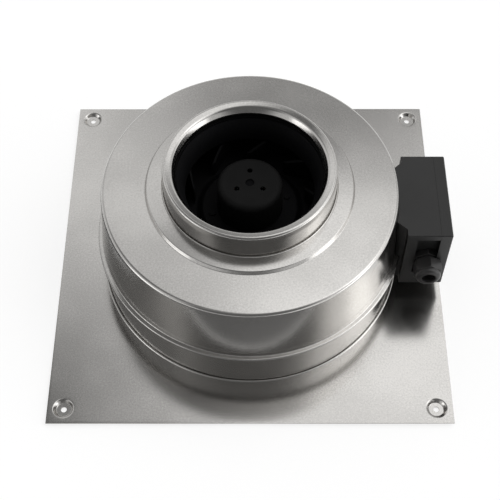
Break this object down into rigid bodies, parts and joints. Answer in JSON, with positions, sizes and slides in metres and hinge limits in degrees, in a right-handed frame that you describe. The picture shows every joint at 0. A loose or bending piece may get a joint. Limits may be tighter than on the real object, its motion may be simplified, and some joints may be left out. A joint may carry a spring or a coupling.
{
  "type": "centrifugal wall fan",
  "caption": "Centrifugal fan on a square wall plate, with a round inlet spigot for a 160 mm duct, a black terminal box with a cable gland, and an external-rotor motor.",
  "frame": {"origin": "centre of the wall plate, on the plane that its corner dimples rest on", "axes": "+Z along the fan's axis out of the plate's front, towards the inlet spigot; +X towards the terminal box"},
  "size_m": [0.37, 0.37, 0.1437],
  "materials": {
    "galvanised_sheet": "satin zinc-coated sheet with a fine grain",
    "galvanised_pressing": "satin zinc-coated pressing",
    "black_moulding": "black moulded plastic",
    "wheel_moulding": "black glass-filled plastic",
    "box_moulding": "black moulded plastic with a fine texture",
    "gland_moulding": "black nylon, lightly glossy",
    "seal_rubber": "black rubber",
    "grommet_rubber": "black rubber",
    "lead_sheath": "black lead sheath",
    "clip_moulding": "black nylon",
    "rotor_paint": "black paint on steel",
    "zinc_steel": "zinc plated",
    "rivet_steel": "plain steel",
    "die_cast": "die-cast",
    "lamination": "stacked lamination",
    "winding_wire": "enamelled copper winding",
    "spring_steel": "spring steel",
    "bearing_steel": "ground",
    "cage_brass": "stamped",
    "shaft_steel": "ground",
    "terminal_moulding": "pale moulded plastic",
    "terminal_brass": "machined",
    "capacitor_case": "pale plastic case"
  },
  "bodies": {
    "housing": {"wall_plate": "galvanised_sheet", "rear_casing": "galvanised_sheet", "front_casing": "galvanised_sheet", "inlet_spigot": "galvanised_sheet", "inlet_nozzle": "black_moulding", "nozzle_studs": "zinc_steel", "nozzle_nuts": "zinc_steel", "casing_rivets": "rivet_steel", "bracket_rivets": "rivet_steel", "motor_bracket": "galvanised_pressing", "motor_screws": "zinc_steel", "stator_flange": "die_cast", "stator_core": "lamination", "stator_windings": "winding_wire", "preload_washer": "spring_steel", "bearing_outer_rings": "bearing_steel", "motor_lead": "lead_sheath", "lead_clips": "clip_moulding", "clip_screws": "zinc_steel", "cable_grommet": "grommet_rubber", "box_base": "box_moulding", "box_screws": "zinc_steel", "box_lid": "box_moulding", "lid_gasket": "grommet_rubber", "lid_screws": "zinc_steel", "terminal_block": "terminal_moulding", "terminal_screws": "terminal_brass", "run_capacitor": "capacitor_case", "capacitor_clip": "spring_steel", "gland_body": "gland_moulding", "gland_nut": "gland_moulding", "gland_seal": "seal_rubber", "gland_locknut": "gland_moulding"},
    "wheel": {"impeller_wheel": "wheel_moulding", "impeller_shroud": "wheel_moulding", "wheel_rivets": "rivet_steel", "rotor_can": "rotor_paint", "rotor_ring": "lamination", "motor_shaft": "shaft_steel", "bearing_inner_rings": "bearing_steel", "circlip": "spring_steel"},
    "ball_train": {"bearing_balls": "bearing_steel", "bearing_cages": "cage_brass"}
  },
  "joints": [
    {"name": "wheel_spin", "type": "hinge", "parent": "housing", "child": "wheel", "pos_m": [0, 0, 0.09], "axis": [0, 0, 1], "continuous": true},
    {"name": "ball_train_spin", "type": "hinge", "parent": "housing", "child": "ball_train", "pos_m": [0, 0, 0.09], "axis": [0, 0, 1], "continuous": true}
  ],
  "couplings": [
    {"joint": "ball_train_spin", "follows": "wheel_spin", "ratio": 0.37}
  ]
}
